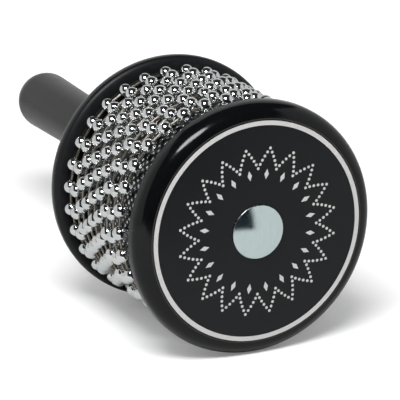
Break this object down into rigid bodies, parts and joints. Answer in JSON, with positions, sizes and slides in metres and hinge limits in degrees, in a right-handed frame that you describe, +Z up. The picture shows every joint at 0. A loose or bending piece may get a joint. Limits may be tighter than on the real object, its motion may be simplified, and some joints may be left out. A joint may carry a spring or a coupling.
{
  "type": "cabasa",
  "caption": "Hand cabasa: a drum clad in textured steel between two black discs, wrapped in turning loops of steel ball chain, with a straight domed handle.",
  "frame": {"origin": "on the surface that the instrument lies on, under the middle of its overall length", "axes": "+Z up; +Y along the drum's axis, towards the end of the handle, so the printed front disc faces -Y; +X to the right seen from the front"},
  "size_m": [0.108, 0.2346, 0.108],
  "materials": {
    "disc_lacquer": "black semi-gloss lacquer over turned hardwood",
    "core_wood": "bare turned hardwood",
    "textured_steel": "stainless sheet with a raised texture",
    "plated_bolt": "bright zinc plating, slightly bluish",
    "washer_steel": "zinc plated",
    "insert_brass": "turned",
    "handle_plastic": "smooth matte moulded plastic",
    "bead_chrome": "nickel plated, polished",
    "link_steel": "nickel plated wire"
  },
  "bodies": {
    "root": {"front_disc": "disc_lacquer", "rear_disc": "disc_lacquer", "wood_core": "core_wood", "steel_sleeve": "textured_steel", "centre_bolt": "plated_bolt", "flat_washer": "washer_steel", "lock_washer": "washer_steel", "handle": "handle_plastic", "handle_insert": "insert_brass"},
    "loop_01": {"loop_01_beads": "bead_chrome", "loop_01_links": "link_steel"},
    "loop_02": {"loop_02_beads": "bead_chrome", "loop_02_links": "link_steel"},
    "loop_03": {"loop_03_beads": "bead_chrome", "loop_03_links": "link_steel"},
    "loop_04": {"loop_04_beads": "bead_chrome", "loop_04_links": "link_steel"},
    "loop_05": {"loop_05_beads": "bead_chrome", "loop_05_links": "link_steel"},
    "loop_06": {"loop_06_beads": "bead_chrome", "loop_06_links": "link_steel"},
    "loop_07": {"loop_07_beads": "bead_chrome", "loop_07_links": "link_steel"},
    "loop_08": {"loop_08_beads": "bead_chrome", "loop_08_links": "link_steel"},
    "loop_09": {"loop_09_beads": "bead_chrome", "loop_09_links": "link_steel"}
  },
  "joints": [
    {"name": "loop_01_spin", "type": "hinge", "parent": "root", "child": "loop_01", "pos_m": [0, -0.08661, 0.0536], "axis": [0, 1, 0], "continuous": true},
    {"name": "loop_02_spin", "type": "hinge", "parent": "root", "child": "loop_02", "pos_m": [0, -0.08029, 0.0536], "axis": [0, 1, 0], "continuous": true},
    {"name": "loop_03_spin", "type": "hinge", "parent": "root", "child": "loop_03", "pos_m": [0, -0.07397, 0.0536], "axis": [0, 1, 0], "continuous": true},
    {"name": "loop_04_spin", "type": "hinge", "parent": "root", "child": "loop_04", "pos_m": [0, -0.06765, 0.0536], "axis": [0, 1, 0], "continuous": true},
    {"name": "loop_05_spin", "type": "hinge", "parent": "root", "child": "loop_05", "pos_m": [0, -0.06133, 0.0536], "axis": [0, 1, 0], "continuous": true},
    {"name": "loop_06_spin", "type": "hinge", "parent": "root", "child": "loop_06", "pos_m": [0, -0.05501, 0.0536], "axis": [0, 1, 0], "continuous": true},
    {"name": "loop_07_spin", "type": "hinge", "parent": "root", "child": "loop_07", "pos_m": [0, -0.04869, 0.0536], "axis": [0, 1, 0], "continuous": true},
    {"name": "loop_08_spin", "type": "hinge", "parent": "root", "child": "loop_08", "pos_m": [0, -0.04237, 0.0536], "axis": [0, 1, 0], "continuous": true},
    {"name": "loop_09_spin", "type": "hinge", "parent": "root", "child": "loop_09", "pos_m": [0, -0.03605, 0.0536], "axis": [0, 1, 0], "continuous": true}
  ]
}
